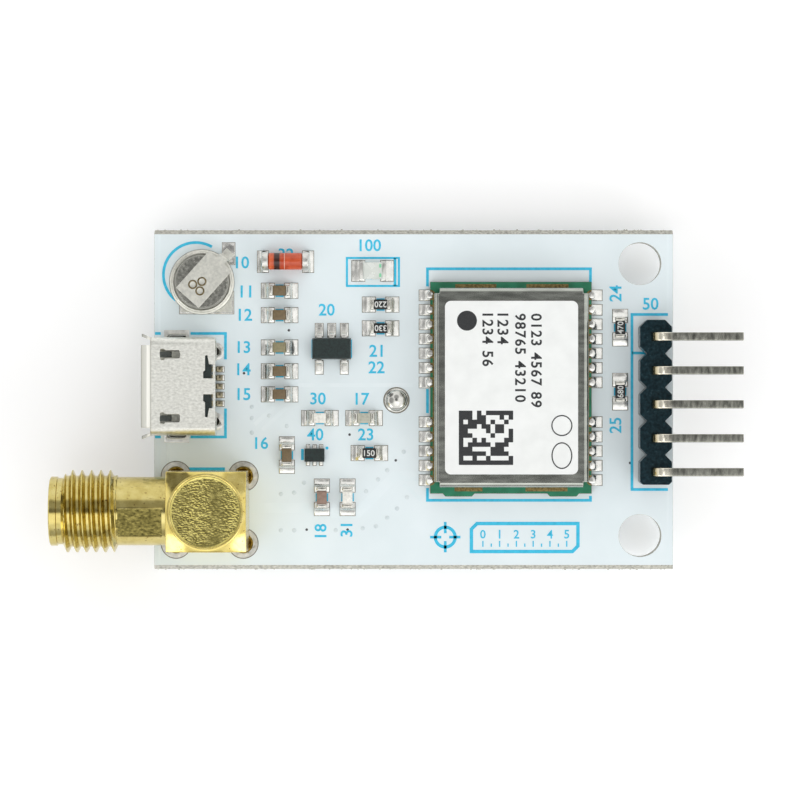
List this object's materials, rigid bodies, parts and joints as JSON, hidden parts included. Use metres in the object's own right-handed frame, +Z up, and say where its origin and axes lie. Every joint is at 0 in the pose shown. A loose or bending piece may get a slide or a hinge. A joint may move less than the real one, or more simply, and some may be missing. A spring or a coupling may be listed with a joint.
{
  "type": "gps receiver module",
  "caption": "Small white receiver board with a shielded receiver, gold right-angle antenna jack, micro USB socket, backup cell and bent pin header.",
  "frame": {"origin": "midway between the two mounting holes, on the underside of the board", "axes": "+X towards the pin header, +Y across the board towards the backup cell, +Z up from the board"},
  "size_m": [0.0519, 0.0256, 0.0096],
  "materials": {
    "white_board": "white solder mask over glass fibre board, satin",
    "green_board": "green solder mask over glass fibre board",
    "tinned": "bright tin solder",
    "shield_steel": "tin plated spring steel sheet",
    "label_white": "printed white label",
    "gold_plate": "gold plated turned brass",
    "white_insulator": "waxy white insulator",
    "usb_steel": "nickel plated folded steel",
    "black_plastic": "black moulded plastic",
    "pin_metal": "tin plated square wire",
    "cell_steel": "drawn stainless steel",
    "gasket_dark": "moulded sealing ring",
    "diode_glass": "clear drawn glass",
    "copper": "copper clad stud",
    "lamp_plastic": "milky cast resin",
    "lamp_white": "white laminate",
    "capacitor_brown": "fired brown ceramic",
    "inductor_white": "fired white ceramic",
    "resistor_black": "black glaze on white ceramic"
  },
  "bodies": {
    "root": {"main_board": "white_board", "receiver_board": "green_board", "hole_rings": "tinned", "pin_solder": "tinned", "surface_solder": "tinned", "test_point": "tinned", "receiver_solder": "tinned", "diode_ends": "tinned", "diode_die": "tinned", "lamp_terminals": "tinned", "regulator_leads": "tinned", "amplifier_leads": "tinned", "chip_end_caps": "tinned", "shield_can": "shield_steel", "clock_crystal": "shield_steel", "receiver_label": "label_white", "jack_block": "gold_plate", "jack_barrel": "gold_plate", "jack_cap": "gold_plate", "jack_contact": "gold_plate", "usb_contacts": "gold_plate", "jack_insulator": "white_insulator", "usb_shell": "usb_steel", "usb_insulator": "black_plastic", "header_body": "black_plastic", "receiver_chip": "black_plastic", "regulator_body": "black_plastic", "amplifier_body": "black_plastic", "header_pin_1": "pin_metal", "header_pin_2": "pin_metal", "header_pin_3": "pin_metal", "header_pin_4": "pin_metal", "header_pin_5": "pin_metal", "battery_can": "cell_steel", "battery_lid": "cell_steel", "battery_top_tab": "cell_steel", "battery_bottom_tab": "cell_steel", "battery_gasket": "gasket_dark", "diode_glass": "diode_glass", "diode_slugs": "copper", "lamp_lens": "lamp_plastic", "lamp_die": "lamp_plastic", "lamp_base": "lamp_white", "capacitor_1": "capacitor_brown", "capacitor_2": "capacitor_brown", "capacitor_3": "capacitor_brown", "capacitor_4": "capacitor_brown", "capacitor_5": "capacitor_brown", "capacitor_6": "capacitor_brown", "capacitor_7": "capacitor_brown", "capacitor_8": "capacitor_brown", "receiver_passives": "capacitor_brown", "saw_filter": "capacitor_brown", "inductor_1": "inductor_white", "inductor_2": "inductor_white", "resistor_1": "resistor_black", "resistor_2": "resistor_black", "resistor_3": "resistor_black", "resistor_4": "resistor_black", "resistor_5": "resistor_black"}
  },
  "joints": []
}
